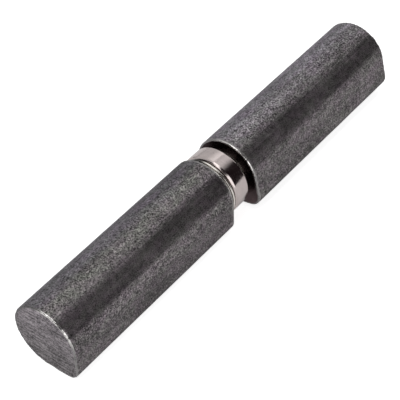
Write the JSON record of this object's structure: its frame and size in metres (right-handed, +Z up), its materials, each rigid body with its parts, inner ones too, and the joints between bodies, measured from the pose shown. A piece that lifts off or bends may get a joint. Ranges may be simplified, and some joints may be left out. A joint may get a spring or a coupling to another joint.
{
  "type": "weld on barrel hinge",
  "caption": "Weld-on barrel hinge: two solid teardrop-section steel knuckles on one pin, with a covered ball thrust bearing between them; the upper knuckle turns and lifts off.",
  "frame": {"origin": "on the pin axis, halfway along the hinge", "axes": "+X along the pin, from the lower knuckle, which holds the pin, to the upper knuckle, which lifts off; +Z up from the flank that the lower knuckle lies on; the lower knuckle's weld corner points to -Y and -Z"},
  "size_m": [0.14, 0.0212, 0.02],
  "materials": {
    "raw_steel": "cold-drawn bar with dark oiled scale, saw-cut ends, broken rims",
    "ground_steel": "ground and greased",
    "bearing_steel": "polished bearing steel",
    "nickel_plate": "bright nickel-plated pressed sheet"
  },
  "bodies": {
    "lower_leaf": {"lower_knuckle": "raw_steel", "hinge_pin": "ground_steel", "lower_race": "bearing_steel"},
    "ball_ring": {"ball_01": "bearing_steel", "ball_02": "bearing_steel", "ball_03": "bearing_steel", "ball_04": "bearing_steel", "ball_05": "bearing_steel", "ball_06": "bearing_steel", "ball_07": "bearing_steel", "ball_08": "bearing_steel", "ball_09": "bearing_steel", "ball_10": "bearing_steel", "ball_11": "bearing_steel", "ball_12": "bearing_steel", "ball_13": "bearing_steel", "ball_14": "bearing_steel", "ball_15": "bearing_steel", "ball_16": "bearing_steel", "ball_17": "bearing_steel", "ball_18": "bearing_steel"},
    "bearing_cap": {"bearing_cover": "nickel_plate", "upper_race": "bearing_steel"},
    "upper_leaf": {"upper_knuckle": "raw_steel"}
  },
  "joints": [
    {"name": "swing", "type": "hinge", "parent": "lower_leaf", "child": "bearing_cap", "pos_m": [0, 0, 0], "axis": [1, 0, 0], "continuous": true},
    {"name": "ball_orbit", "type": "hinge", "parent": "lower_leaf", "child": "ball_ring", "pos_m": [0, 0, 0], "axis": [1, 0, 0], "continuous": true},
    {"name": "lift_off", "type": "slide", "parent": "bearing_cap", "child": "upper_leaf", "axis": [1, 0, 0], "range_m": [-0.00255, 0.035]}
  ],
  "couplings": [
    {"joint": "ball_orbit", "follows": "swing", "ratio": 0.5}
  ]
}
